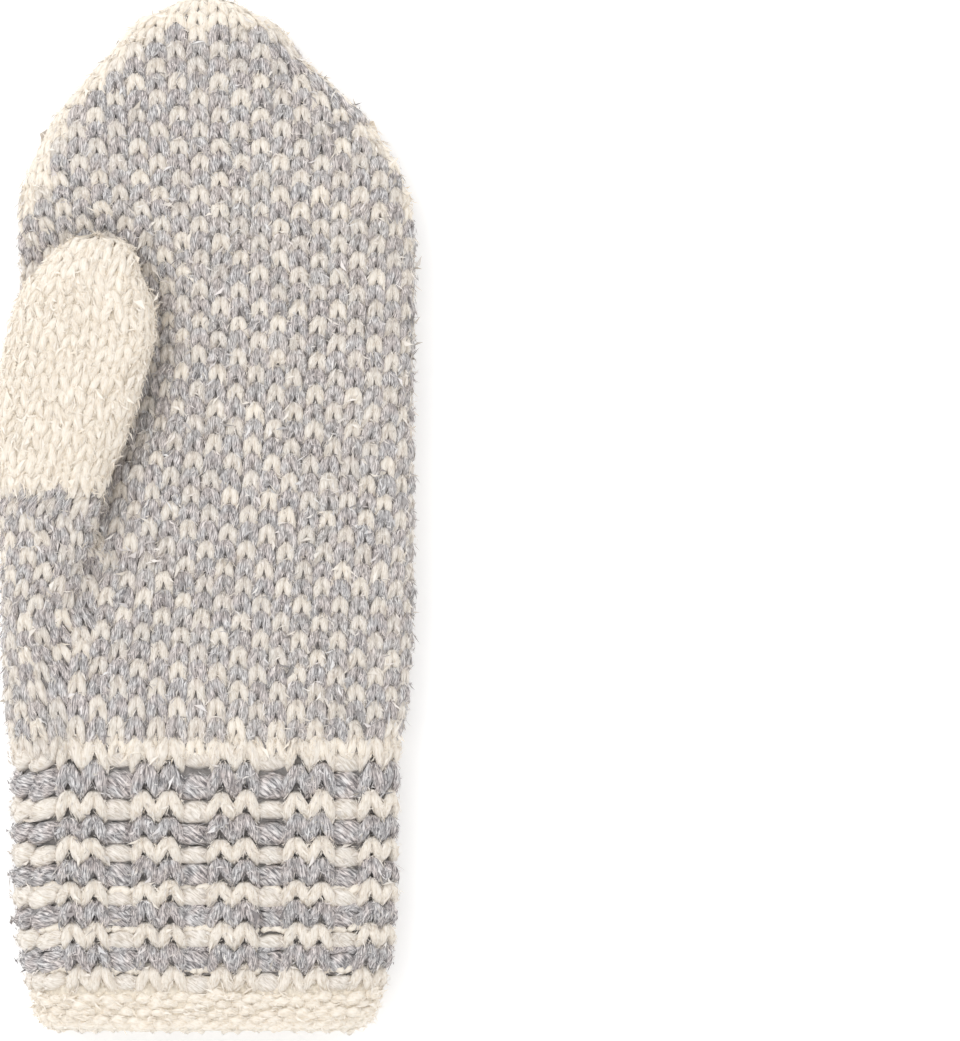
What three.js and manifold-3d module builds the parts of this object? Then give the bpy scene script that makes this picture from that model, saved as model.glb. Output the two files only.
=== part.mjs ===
// A wool mitten for the left hand, lying on its back with the palm up.
// X runs across the hand, thumb side negative. Y runs from the wrist edge to the fingertips. Z is up.
// The origin is at the middle of the outline on the surface that the mitten lies on. Millimetres.
//
// It is knitted as one hollow shell and modelled as five pieces: the welt round the wrist edge, the
// ribbed cuff, the hand with the hump that leads to the thumb, the thumb, and a woven label let into
// the back of the hand.
import * as THREE from "three";
import { mergeVertices } from "three/addons/utils/BufferGeometryUtils.js";
import Module from "manifold-3d";

const wasm = await Module();
wasm.setup();

// Driving dimensions
const mittenLength = 273; // wrist edge to fingertips
const seamGap = 0.3; // between two pieces that meet
const handWall = 4; // two yarns thick, because the unused colour is carried behind
const thumbWall = 3.4; // one yarn
const cuffWall = 4.4;
const settle = 0.9; // how much of the round underside is pressed flat by the mitten's own weight
const sideRound = 4; // larger makes a section's sides rounder and its faces flatter

// Stations along the length, from the wrist edge
const weltEnd = 14.6;
const cuffEnd = 73.6;
const thumbStart = 144.2;

// Each row is a section across the mitten at a station s. left and right are the outline's
// distances from the centre line, top and under the heights of its palm and back.
const weltRows = [
  { s: 0, left: 43.0, right: 40.6, top: 15.6, under: 0.9 },
  { s: 1.4, left: 44.8, right: 43.2, top: 17.0, under: 0.2 },
  { s: 4.5, left: 46.0, right: 45.2, top: 17.9, under: 0 },
  { s: 9, left: 47.3, right: 46.8, top: 18.0, under: 0 },
  { s: weltEnd - seamGap / 2, left: 48.9, right: 48.4, top: 18.3, under: 0 },
];
const cuffRows = [
  { s: weltEnd + seamGap / 2, left: 49.0, right: 48.6, top: 18.9, under: 0 },
  { s: 22, left: 50.4, right: 50.4, top: 19.4, under: 0 },
  { s: 34, left: 51.8, right: 51.3, top: 19.7, under: 0 },
  { s: 52, left: 52.2, right: 51.3, top: 20.0, under: 0 },
  { s: cuffEnd - seamGap / 2, left: 51.8, right: 51.6, top: 20.3, under: 0 },
];
const handRows = [
  { s: cuffEnd + seamGap / 2, left: 52.1, right: 51.8, top: 20.5, under: 0 },
  { s: 78, left: 53.5, right: 52.3, top: 21.0, under: 0 },
  { s: 88, left: 54.4, right: 53.7, top: 22.0, under: 0 },
  { s: 101, left: 54.6, right: 54.5, top: 22.6, under: 0 },
  { s: 116, left: 54.5, right: 55.0, top: 23.0, under: 0 },
  { s: 130, left: 54.4, right: 55.2, top: 23.0, under: 0 },
  { s: 143.6, left: 54.0, right: 55.3, top: 23.0, under: 0 },
  { s: 158, left: 52.8, right: 54.9, top: 23.0, under: 0 },
  { s: 175, left: 51.4, right: 54.8, top: 22.8, under: 0 },
  { s: 193, left: 50.6, right: 55.3, top: 22.4, under: 0 },
  { s: 208, left: 50.4, right: 55.3, top: 21.9, under: 0 },
  { s: 217, left: 50.7, right: 54.9, top: 21.3, under: 0 },
  { s: 223, left: 49.8, right: 53.5, top: 20.7, under: 0 },
  { s: 229, left: 47.3, right: 50.8, top: 19.9, under: 0 },
  { s: 236, left: 43.8, right: 46.1, top: 18.7, under: 0 },
  { s: 243, left: 39.4, right: 41.0, top: 17.2, under: 0 },
  { s: 250, left: 33.8, right: 33.3, top: 15.5, under: 0 },
  { s: 257, left: 27.4, right: 25.2, top: 13.6, under: 0 },
  { s: 263, left: 21.9, right: 20.0, top: 11.9, under: 0 },
  { s: 268, left: 16.4, right: 14.8, top: 10.1, under: 0.2 },
  { s: 271.4, left: 10.8, right: 9.0, top: 8.4, under: 0.9 },
  { s: mittenLength, left: 6.4, right: 4.4, top: 6.8, under: 1.9 },
];

// The limb is the hump that leads out of the hand, and then the thumb. Here left and right are
// places across the mitten, and low and high the heights of its back and front.
const limbBase = { left: -55.2, right: -26.6, low: 14.9, high: 30.3 };
const humpRows = [
  { s: 86, left: -53.0, right: -36.4, low: 3.0, high: 18.6 },
  { s: 100, left: -54.2, right: -34.6, low: 3.0, high: 22.2 },
  { s: 115, left: -54.5, right: -32.0, low: 4.0, high: 24.8 },
  { s: 130, left: -54.8, right: -29.2, low: 9.0, high: 27.8 },
  { s: thumbStart - seamGap / 2, ...limbBase },
];
const humpHollowRows = [
  { s: 92, left: -49.6, right: -38.4, low: 6.0, high: 16.0 },
  { s: 104, left: -50.6, right: -37.6, low: 5.0, high: 19.2 },
  { s: 115, left: -51.0, right: -35.6, low: 5.0, high: 21.2 },
  { s: 126, left: -51.2, right: -33.4, low: 6.0, high: 23.4 },
  { s: 135, left: -51.5, right: -31.6, low: 9.5, high: 25.4 },
  { s: thumbStart - seamGap / 2, left: -51.8, right: -30.0, low: 18.3, high: 26.9 },
  { s: thumbStart + 2, left: -51.8, right: -30.0, low: 18.3, high: 26.9 },
];
const thumbRows = [
  { s: thumbStart + seamGap / 2, ...limbBase },
  { s: 150, left: -55.4, right: -23.9, low: 15.4, high: 30.9 },
  { s: 157, left: -55.4, right: -21.2, low: 15.5, high: 31.3 },
  { s: 167, left: -55.1, right: -17.6, low: 15.5, high: 31.6 },
  { s: 175, left: -54.3, right: -15.4, low: 15.5, high: 31.6 },
  { s: 182, left: -53.1, right: -13.4, low: 15.5, high: 31.4 },
  { s: 188, left: -51.9, right: -13.1, low: 15.5, high: 31.0 },
  { s: 193.5, left: -50.0, right: -14.2, low: 15.6, high: 30.5 },
  { s: 198.2, left: -47.0, right: -16.2, low: 15.8, high: 29.7 },
  { s: 202.7, left: -42.6, right: -18.5, low: 16.3, high: 28.5 },
  { s: 206.2, left: -38.0, right: -21.3, low: 17.0, high: 27.0 },
  { s: 208.6, left: -33.2, right: -24.0, low: 18.2, high: 25.2 },
  { s: 209.8, left: -30.4, right: -26.6, low: 19.6, high: 23.4 },
];

// The palm is pressed in under the limb, up to a crease along the limb's right side.
// crease is the crease's place across the mitten, and depth how far the palm is pressed in.
const pressedRows = [
  { s: 98, crease: -36.0, depth: 0 },
  { s: 115, crease: -32.0, depth: 3.0 },
  { s: 130, crease: -29.2, depth: 6.0 },
  { s: 143, crease: -26.6, depth: 8.2 },
  { s: 167, crease: -17.6, depth: 8.2 },
  { s: 186, crease: -13.2, depth: 8.4 },
  { s: 202, crease: -18.0, depth: 7.6 },
  { s: 212, crease: -24.0, depth: 4.0 },
  { s: 226, crease: -30.0, depth: 0 },
];
const creaseSlope = 12; // width of the slope from the crease up to the open palm

// Soft dents in the palm, each with its middle, its reach each way and its depth
const palmDents = [
  { name: "hollow of the palm", x: 14, s: 150, reachX: 24, reachS: 34, depth: 1.1 },
  { name: "below the fingers", x: 22, s: 205, reachX: 26, reachS: 9, depth: 0.6 },
  { name: "gather at the wrist", x: 4, s: 82, reachX: 40, reachS: 5, depth: 0.7 },
];

// Ribs of the cuff: each is a pair of raised knit columns and a sunk pair of purl columns
const ribCount = 11;
const ribDepth = 1.7;
const ribProfile = [1, 1, 1, 1, 1, 0.5, 0, 0.5];
const ribShift = 1; // in steps of the profile, puts a rib just right of the palm's centre line

const label = { x: 29.4, s: 95, width: 28.4, height: 27.6, thickness: 1, corner: 1.6, turn: -2 };
const labelPocketDepth = label.thickness + seamGap;

const stationToY = (s) => s - mittenLength / 2;
const smoothStep = (t) => {
  const u = Math.min(1, Math.max(0, t));
  return u * u * (3 - 2 * u);
};

// The row of a table at any station, by straight lines between its rows
function rowAt(rows, s) {
  const last = rows.length - 1;
  let i = 0;
  while (i < last - 1 && rows[i + 1].s < s) i++;
  const t = Math.min(1, Math.max(0, (s - rows[i].s) / (rows[i + 1].s - rows[i].s)));
  const made = {};
  for (const key of Object.keys(rows[i])) {
    made[key] = rows[i][key] + t * (rows[i + 1][key] - rows[i][key]);
  }
  return { ...made, s };
}

// Depth of the palm's surface below its plain form
function palmDepth(x, s) {
  const pressed = rowAt(pressedRows, s);
  let depth = pressed.depth * smoothStep((pressed.crease + creaseSlope - x) / creaseSlope);
  for (const dent of palmDents) {
    const away = ((x - dent.x) / dent.reachX) ** 2 + ((s - dent.s) / dent.reachS) ** 2;
    depth += dent.depth * Math.exp(-away);
  }
  return depth;
}

// One section as a closed loop: flat faces, round sides, and an underside that is pressed flat
function sectionLoop({ left, right, top, under }, steps = 240) {
  const half = (right - left) / 2;
  const middle = under + (top - under) * 0.46;
  const power = 2 / (2 + sideRound * (1 - (top - under) / (2 * half)));
  const loop = [];
  for (let i = 0; i < steps; i++) {
    const angle = (2 * Math.PI * i) / steps;
    const across = Math.sign(Math.sin(angle)) * Math.abs(Math.sin(angle)) ** power;
    const up = Math.cos(angle);
    const height = up > 0 ? (top - middle) * up : (middle - under + settle) * up;
    loop.push(new THREE.Vector2((left + right) / 2 + half * across, Math.max(under, middle + height)));
  }
  return loop;
}

// Points at equal steps of length round a loop, each with its outward normal
function evenPoints(loop, count) {
  const closed = [...loop, loop[0]];
  const run = [0];
  for (let i = 1; i < closed.length; i++) run.push(run[i - 1] + closed[i].distanceTo(closed[i - 1]));
  const total = run[run.length - 1];
  const points = [];
  for (let k = 0, i = 1; k < count; k++) {
    const goal = (total * k) / count;
    while (run[i] < goal) i++;
    const t = (goal - run[i - 1]) / (run[i] - run[i - 1]);
    const along = closed[i].clone().sub(closed[i - 1]);
    const at = closed[i - 1].clone().addScaledVector(along, t);
    points.push({ at, normal: new THREE.Vector2(-along.y, along.x).normalize() });
  }
  return points;
}

// A closed tube through the sections of a table, made by warping a cylinder
function tube(rows, count, shape = (point) => point) {
  const cylinder = new THREE.CylinderGeometry(1, 1, 1, count, rows.length - 1);
  cylinder.deleteAttribute("normal");
  cylinder.deleteAttribute("uv");
  const geometry = mergeVertices(cylinder, 1e-4);
  const loops = rows.map((row) =>
    evenPoints(sectionLoop(row), count).map(({ at, normal }, i) => shape(at, row, normal, i)),
  );
  const centres = loops.map((loop) =>
    loop.reduce((sum, p) => sum.add(p), new THREE.Vector2()).divideScalar(count),
  );
  const position = geometry.getAttribute("position");
  for (let i = 0; i < position.count; i++) {
    const k = Math.round((position.getY(i) + 0.5) * (rows.length - 1));
    const [x, z] = [position.getX(i), position.getZ(i)];
    const turn = (Math.atan2(x, z) / (2 * Math.PI) + 1) % 1;
    const p = Math.hypot(x, z) < 0.5 ? centres[k] : loops[k][Math.round(turn * count) % count];
    position.setXYZ(i, p.x, stationToY(rows[k].s), p.y);
  }
  return solidOf(geometry);
}

function solidOf(geometry) {
  const plain = mergeVertices(geometry, 1e-4);
  return new wasm.Manifold(
    new wasm.Mesh({
      numProp: 3,
      vertProperties: new Float32Array(plain.getAttribute("position").array),
      triVerts: new Uint32Array(plain.index.array),
    }),
  );
}

function meshOf(name, solid, material) {
  const made = solid.getMesh();
  const geometry = new THREE.BufferGeometry()
    .setAttribute("position", new THREE.BufferAttribute(new Float32Array(made.vertProperties), 3))
    .setIndex(new THREE.BufferAttribute(new Uint32Array(made.triVerts), 1));
  geometry.computeVertexNormals();
  const mesh = new THREE.Mesh(geometry, material);
  mesh.name = name;
  return mesh;
}

// Rows measured from the centre line turned into places across the mitten
const placed = (rows) => rows.map((row) => ({ ...row, left: -row.left }));
const limb = (rows) => rows.map(({ low, high, ...row }) => ({ ...row, under: low, top: high }));

// The hollow inside a wall, at the given stations. lead looks further along the outline, so that
// the wall keeps its thickness where the outline runs in towards the tip.
function hollowRows(rows, stations, wall, lead = () => 0) {
  return stations.map((s) => {
    const row = rowAt(rows, s + lead(s));
    const inside = { left: row.left + wall, right: row.right - wall };
    return { s, ...inside, top: row.top - wall, under: row.under + wall };
  });
}

// How high a point stands in its section, from 0 at mid height to 1 on the palm
const riseOf = (point, row) => smoothStep((point.y - row.under) / (row.top - row.under) / 0.8 - 0.35);

// The palm's dents, which its inner face follows
const dented = (point, row) => {
  point.y -= palmDepth(point.x, row.s) * riseOf(point, row);
  return point;
};

function makeHand() {
  const rows = placed(handRows);
  const first = rows[0].s;
  const hollowStations = [
    first - 3, first, 88, 101, 115, 128, 138, 144, 158, 175, 193, 208, 217, 225, 234, 243, 252, 259, 264,
  ];
  const tipLead = (s) => 3 * smoothStep((s - 212) / 16);
  const outside = tube(rows, 48, dented).add(tube(limb(humpRows), 28));
  const inside = tube(hollowRows(rows, hollowStations, handWall, tipLead), 40, dented);
  const humpInside = tube(limb(humpHollowRows), 20);
  return outside.subtract(inside).subtract(humpInside).subtract(labelBlock(seamGap, labelPocketDepth));
}

function makeThumb() {
  const rows = limb(thumbRows);
  const stations = [thumbStart - 2, 150, 157, 167, 175, 182, 188, 193.5, 198.5, 202, 204.6];
  const tipLead = (s) => 2 * smoothStep((s - 186) / 10);
  return tube(rows, 32).subtract(tube(hollowRows(rows, stations, thumbWall, tipLead), 24));
}

// The cuff's outer face rises and falls round the wrist, 8 steps to a rib
function makeCuff() {
  const rows = placed(cuffRows);
  const stations = [cuffRows[0].s - 2, 22, 34, 52, cuffEnd + 2];
  const ribbed = (point, row, normal, i) => {
    const sunk = 1 - ribProfile[(i - ribShift + ribProfile.length) % ribProfile.length];
    return point.addScaledVector(normal, -ribDepth * sunk);
  };
  const outside = tube(rows, ribCount * ribProfile.length, ribbed);
  return outside.subtract(tube(hollowRows(rows, stations, cuffWall), 44));
}

function makeWelt() {
  const rows = placed(weltRows);
  const stations = [-2, 4.5, weltEnd + 2];
  return tube(rows, 48).subtract(tube(hollowRows(rows, stations, cuffWall), 40));
}

// The label's outline with a margin round it, as a block that stands on the surface below
function labelBlock(margin, depth) {
  const [w, h] = [label.width / 2 + margin, label.height / 2 + margin];
  const r = label.corner + margin;
  const outline = new THREE.Shape();
  outline.moveTo(-w + r, -h);
  outline.lineTo(w - r, -h);
  outline.absarc(w - r, -h + r, r, -Math.PI / 2, 0);
  outline.absarc(w - r, h - r, r, 0, Math.PI / 2);
  outline.absarc(-w + r, h - r, r, Math.PI / 2, Math.PI);
  outline.absarc(-w + r, -h + r, r, Math.PI, Math.PI * 1.5);
  const below = margin > 0 ? 1 : 0; // a cutter reaches past the surface that it cuts
  const block = new THREE.ExtrudeGeometry(outline, {
    depth: depth + below,
    bevelEnabled: false,
    curveSegments: 4,
  });
  block.deleteAttribute("normal");
  block.deleteAttribute("uv");
  block.translate(0, 0, -below);
  block.rotateZ(THREE.MathUtils.degToRad(label.turn));
  block.translate(label.x, stationToY(label.s), 0);
  return solidOf(block);
}

const greyWool = new THREE.MeshStandardMaterial({ color: 0xb4adab, roughness: 0.95, metalness: 0 });
const creamWool = new THREE.MeshStandardMaterial({ color: 0xefe5d6, roughness: 0.95, metalness: 0 });
const stripedWool = new THREE.MeshStandardMaterial({ color: 0xc4bcb5, roughness: 0.95, metalness: 0 });
const wovenLabel = new THREE.MeshStandardMaterial({ color: 0x1b1d2c, roughness: 0.8, metalness: 0 });

const mitten = new THREE.Group();
mitten.add(
  meshOf("welt", makeWelt(), creamWool),
  meshOf("cuff", makeCuff(), stripedWool),
  meshOf("hand", makeHand(), greyWool),
  meshOf("thumb", makeThumb(), creamWool),
  meshOf("label", labelBlock(0, label.thickness), wovenLabel),
);

export default mitten;
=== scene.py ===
import math

import bmesh
import bpy
import numpy as np
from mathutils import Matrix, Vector


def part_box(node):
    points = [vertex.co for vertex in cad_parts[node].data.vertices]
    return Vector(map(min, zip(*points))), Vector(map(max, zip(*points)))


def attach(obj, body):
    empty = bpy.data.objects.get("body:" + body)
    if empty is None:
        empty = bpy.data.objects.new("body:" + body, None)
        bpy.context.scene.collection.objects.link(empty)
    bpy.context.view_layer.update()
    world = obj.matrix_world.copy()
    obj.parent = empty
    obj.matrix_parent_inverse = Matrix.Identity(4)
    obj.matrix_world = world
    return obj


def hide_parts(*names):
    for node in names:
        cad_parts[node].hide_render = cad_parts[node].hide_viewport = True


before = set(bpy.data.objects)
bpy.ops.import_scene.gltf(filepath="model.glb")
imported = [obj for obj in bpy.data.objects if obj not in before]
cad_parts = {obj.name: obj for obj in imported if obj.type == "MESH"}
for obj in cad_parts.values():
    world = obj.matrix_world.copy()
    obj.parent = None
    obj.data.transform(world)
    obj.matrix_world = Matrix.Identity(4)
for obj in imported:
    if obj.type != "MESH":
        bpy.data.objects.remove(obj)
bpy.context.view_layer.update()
print("frame loaded")

mm = 0.001
dice = np.random.default_rng(27)
boxes = {node: [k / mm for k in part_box(node)] for node in ("welt", "cuff", "hand", "thumb", "label")}
wristY = boxes["welt"][0].y  # stations are counted in mm from the wrist edge
startOf = {node: low.y - wristY for node, (low, high) in boxes.items()}
endOf = {node: high.y - wristY for node, (low, high) in boxes.items()}
ringS = startOf["thumb"]  # where the thumb grows out of the hand


def along(pairs, s):
    at, value = zip(*pairs)
    return np.interp(s, at, value)


# reading the form of the frame's solids
reading = {
    # where a solid is cut across: mm in from both ends of the stretch, and the number of cuts
    "lowerHand": (0.3, 2.2, 41),  # it ends where the hump is still whole
    "upperHand": (0.3, 0.4, 66),
    "thumb": (0.2, 0.3, 42),
    "cuff": (0.3, 0.3, 22),
    "welt": (0.15, 0.3, 10),
    "mouthEnd": 52,  # the station up to which the wrong side is seen through the wrist
    "merge": 2e-6,  # metres between two points that are one
    "thin": 1e-7,
    "reach": 110,  # mm that a face goes round its section both ways
    "dome": (20, 40, 60, 80),  # degrees round a closed end
    "overhang": 0.9,  # mm that yarn reaches past a closed end
    # passes of smoothing: round the sections, along the mitten, and of the normals
    "smoothRound": 2,
    "smoothAlong": 1,
    "smoothNormals": 2,
}


def solidOf(node):
    bm = bmesh.new()
    bm.from_mesh(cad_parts[node].data)
    bmesh.ops.remove_doubles(bm, verts=bm.verts, dist=reading["merge"])
    return bm


def outlinesAt(bm, s):
    # closed outlines of the solid cut across at station s, widest first, as (x, z) in mm
    cut = bm.copy()
    everything = [*cut.verts, *cut.edges, *cut.faces]
    bmesh.ops.bisect_plane(cut, geom=everything, dist=reading["thin"], plane_co=(0, (wristY + s) * mm, 0),
                           plane_no=(0, 1, 0), clear_inner=True, clear_outer=True)
    waiting = dict.fromkeys(cut.verts)  # in order, so that every run starts at the same point
    loops = []
    while waiting:
        here = next(iter(waiting))
        loop = []
        while here:
            del waiting[here]
            loop.append(here)
            onward = (e.other_vert(here) for e in here.link_edges)
            here = next((v for v in onward if v in waiting), None)
        loops.append(np.array([(v.co.x, v.co.z) for v in loop]) / mm)
    cut.free()
    loops.sort(key=lambda p: -np.ptp(p[:, 0]))
    return loops


def sections(node, first, last, stretch):
    fromFirst, fromLast, count = reading[stretch]
    return [(s, outlinesAt(solids[node], s)) for s in np.linspace(first + fromFirst, last - fromLast, count)]


def outer(cuts):
    return [(s, loops[0]) for s, loops in cuts]


def inner(cuts, last):
    return [(s, loops[1]) for s, loops in cuts if s < last]


def middleOf(loops):
    # the middle of each section, as a line to count columns from
    pairs = [(s, (p[:, 0].min() + p[:, 0].max()) / 2) for s, p in loops]
    return lambda s: float(along(pairs, s))


def unroll(loop, startX, top, reach):
    # walks round an outline in steps of 1 mm, from where it crosses startX on its top or its underside
    x, z = loop.T
    if np.sum(x * np.roll(z, -1) - np.roll(x, -1) * z) > 0:
        loop = loop[::-1]
    a = np.vstack([loop, loop[:1]])
    run = np.concatenate([[0], np.cumsum(np.hypot(*np.diff(a, axis=0).T))])
    x0, x1 = a[:-1, 0], a[1:, 0]
    t = (startX - x0) / np.where(x1 == x0, 1e-9, x1 - x0)
    height = a[:-1, 1] + t * (a[1:, 1] - a[:-1, 1])
    crossing = (x0 - startX) * (x1 - startX) <= 0
    if top:
        i = np.argmax(np.where(crossing, height, -1e9))
    else:
        i = np.argmin(np.where(crossing, height, 1e9))
    start = run[i] + np.clip(t[i], 0, 1) * (run[i + 1] - run[i])
    at = (start + np.arange(-reach, reach + 1)) % run[-1]
    points = np.column_stack([np.interp(at, run, a[:, 0]), np.interp(at, run, a[:, 1])])
    rightmost, leftmost = run[np.argmax(a[:, 0])], run[np.argmin(a[:, 0])]
    first, last = (rightmost, leftmost) if top else (leftmost, rightmost)
    return points, (first - start) % run[-1], (start - last) % run[-1], run[-1]


def soften(values, axis, times):
    for _ in range(times):
        pad = [(0, 0)] * values.ndim
        pad[axis] = (1, 1)
        p = np.pad(values, pad, mode="edge")
        n = values.shape[axis]
        low, mid, high = (np.take(p, range(k, n + k), axis) for k in range(3))
        values = (low + 2 * mid + high) / 4
    return values


def blunted(loops, widths):
    # the knitting rounds a closed end off more bluntly than the solid
    wider = []
    for s, p in loops:
        middle = (p[:, 0].min() + p[:, 0].max()) / 2
        wider.append((s, np.column_stack([middle + (p[:, 0] - middle) * along(widths, s), p[:, 1]])))
    return wider


def surfaceOf(loops, startX, top=True, reach=reading["reach"], dome=0, calm=0):
    # a smooth map from (mm round the section, station) to a face of a solid
    loops = list(loops)
    if dome:  # rounds the closed end
        s, last = loops[-1]
        middle = (last.min(0) + last.max(0)) / 2
        for turn in reading["dome"]:
            up, out = math.sin(math.radians(turn)), math.cos(math.radians(turn))
            loops.append((s + dome * up, middle + (last - middle) * out))
    s = np.array([k for k, _ in loops])
    rows = [unroll(loop, startX(k), top, reach) for k, loop in loops]
    xz = soften(np.array([r[0] for r in rows]), 1, reading["smoothRound"])
    xz = soften(xz, 0, reading["smoothAlong"])
    y = np.repeat(s[:, None] + wristY, xz.shape[1], 1)
    points = np.dstack([xz[..., 0], y, xz[..., 1]])
    normal = np.cross(np.gradient(points, axis=1), np.gradient(points, s, axis=0))
    normal /= np.linalg.norm(normal, axis=2, keepdims=True) + 1e-9
    normal = soften(normal, 1, reading["smoothNormals"])
    ahead, behind, total = (soften(np.array([r[k] for r in rows]), 0, calm) for k in (1, 2, 3))
    return {"s": s, "reach": reach, "points": points, "normal": normal, "closed": dome > 0,
            "ahead": ahead, "behind": behind, "total": total}


def onSurface(surface, a, s, lift):
    # the place over a face, a mm round it at station s and lifted off it
    rows = surface["s"]
    j = np.clip(np.searchsorted(rows, s) - 1, 0, len(rows) - 2)
    v = np.clip((s - rows[j]) / (rows[j + 1] - rows[j]), 0, 1)[..., None]
    over = s - np.clip(s, rows[0], rows[-1])
    if surface["closed"]:
        over = np.minimum(over, reading["overhang"] * np.tanh(over))
    over = over[..., None] * np.array([0, 1, 0])
    column = np.clip(a + surface["reach"], 0, 2 * surface["reach"] - 1.001)
    i = column.astype(int)
    u = (column - i)[..., None]

    def mix(grid):
        low = grid[j, i] * (1 - u) + grid[j, i + 1] * u
        high = grid[j + 1, i] * (1 - u) + grid[j + 1, i + 1] * u
        return low * (1 - v) + high * v

    return mix(surface["points"]) + over + mix(surface["normal"]) * lift[..., None]


def measure(surface, what, s):
    return np.interp(s, surface["s"], surface[what])


solids = {node: solidOf(node) for node in ("hand", "thumb", "cuff", "welt")}
lowerHand = sections("hand", startOf["hand"], ringS, "lowerHand")
upperHand = sections("hand", ringS, endOf["hand"], "upperHand")
cuts = {
    "hand": lowerHand + upperHand,
    "thumb": sections("thumb", ringS, endOf["thumb"], "thumb"),
    "cuff": sections("cuff", startOf["cuff"], endOf["cuff"], "cuff"),
    "welt": sections("welt", 0, endOf["welt"], "welt"),
}
cuffLoops, weltLoops = outer(cuts["cuff"]), outer(cuts["welt"])
mouthLoops = inner(cuts["welt"], endOf["welt"]) + inner(cuts["cuff"], reading["mouthEnd"])
print("outlines read")

# yarn
yarn = {
    "strandsApart": 40,  # mm of yarn between the two halves of a stitch, so that their grain differs
    "stitchesApart": 400,  # mm of yarn between the first stitch and the last
    # how much stitches differ where the unevenness is 1
    "lean": 0.05,
    "stretch": 0.06,
    "grow": 0.05,
    "place": 0.16,  # mm
    "placeUp": 0.5,  # share of that which is over the face
    "core": -1.2,  # mm over the face: the height about which a yarn grows thicker
    "deep": -2,  # mm: below this a strand bends flat, to stay inside the wall
    "deepGive": 0.8,
    # mm over the ground: below the first height the wool is pressed towards the second
    "pressFrom": 0.5,
    "pressTo": 0.03,
}
# the shape of one stitch: a path's rows are mm across, mm along, mm over the face, and the yarn's radius
stitchShape = {
    "column": 5.2,
    "row": 4.6,
    "flat": 0.88,
    "sides": 6,
    "leg": [
        (0.28, 6.10, -2.45, 0.65),
        (0.68, 5.40, -1.36, 1.16),
        (1.12, 3.90, -1.06, 1.36),
        (1.56, 2.15, -1.16, 1.34),
        (1.98, 0.45, -1.80, 1.06),
        (2.28, -1.00, -2.80, 0.60),
    ],
}


def strand(path, sides, mirror=False):
    # a short length of yarn along a path; length and turn are kept for the grain of its fibres
    path = np.array(path, float)
    if mirror:
        path = path * [-1, 1, 1, 1]
    bm = bmesh.new()
    rings = len(path) - 1
    bmesh.ops.create_cone(bm, cap_ends=True, segments=sides, radius1=1, radius2=1, depth=rings)
    for k in range(1, rings):
        bmesh.ops.bisect_plane(bm, geom=[*bm.verts, *bm.edges, *bm.faces],
                               plane_co=(0, 0, k - rings / 2), plane_no=(0, 0, 1))
    run = np.concatenate([[0], np.cumsum(np.linalg.norm(np.diff(path[:, :3], axis=0), axis=1))])
    tangent = np.gradient(path[:, :3], axis=0)
    tangent /= np.linalg.norm(tangent, axis=1)[:, None]
    side = np.cross(tangent, [0, 0, 1])
    side /= np.linalg.norm(side, axis=1)[:, None]
    up = np.cross(side, tangent)
    length, turn, ring = {}, {}, {}
    for v in bm.verts:
        k = int(round(v.co.z + rings / 2))
        angle = math.atan2(v.co.x, -v.co.y) * (-1 if mirror else 1)
        length[v], turn[v], ring[v] = run[k], (angle / math.tau) % 1.0, k
        v.co = path[k, :3] + path[k, 3] * (side[k] * v.co.x + up[k] * v.co.y)
    bmesh.ops.recalc_face_normals(bm, faces=bm.faces)
    bm.verts.index_update()
    faces, uvs = [], []
    for f in bm.faces:
        faces.append([v.index for v in f.verts])
        turns = np.array([turn[v] for v in f.verts])
        if np.ptp(turns) > 0.5:
            turns = np.where(turns < 0.5, turns + 1, turns)
        uvs.append([(length[v], t) for v, t in zip(f.verts, turns)])
    # the neighbour further along the yarn, which tells a hair the way its fibres run
    onward = []
    for v in bm.verts:
        others = [e.other_vert(v) for e in v.link_edges if ring[e.other_vert(v)] != ring[v]]
        onward.append(others[-1].index)
    verts = np.array([v.co[:] for v in bm.verts])
    bm.free()
    return {"verts": verts, "faces": faces, "uvs": uvs, "onward": np.array(onward)}


def together(*parts):
    joined = {"verts": np.vstack([p["verts"] for p in parts]), "faces": [], "uvs": []}
    start, onward = 0, []
    for k, p in enumerate(parts):
        joined["faces"] += [[i + start for i in f] for f in p["faces"]]
        joined["uvs"] += [[(u + yarn["strandsApart"] * k, v) for u, v in c] for c in p["uvs"]]
        onward.append(p["onward"] + start)
        start += len(p["verts"])
    joined["onward"] = np.concatenate(onward)
    return joined


def turned(template):
    # the same shape for a face that looks inwards
    return dict(template, faces=[f[::-1] for f in template["faces"]], uvs=[c[::-1] for c in template["uvs"]])


def loopStitch(shape):
    return together(strand(shape["leg"], shape["sides"]), strand(shape["leg"], shape["sides"], mirror=True))


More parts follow.
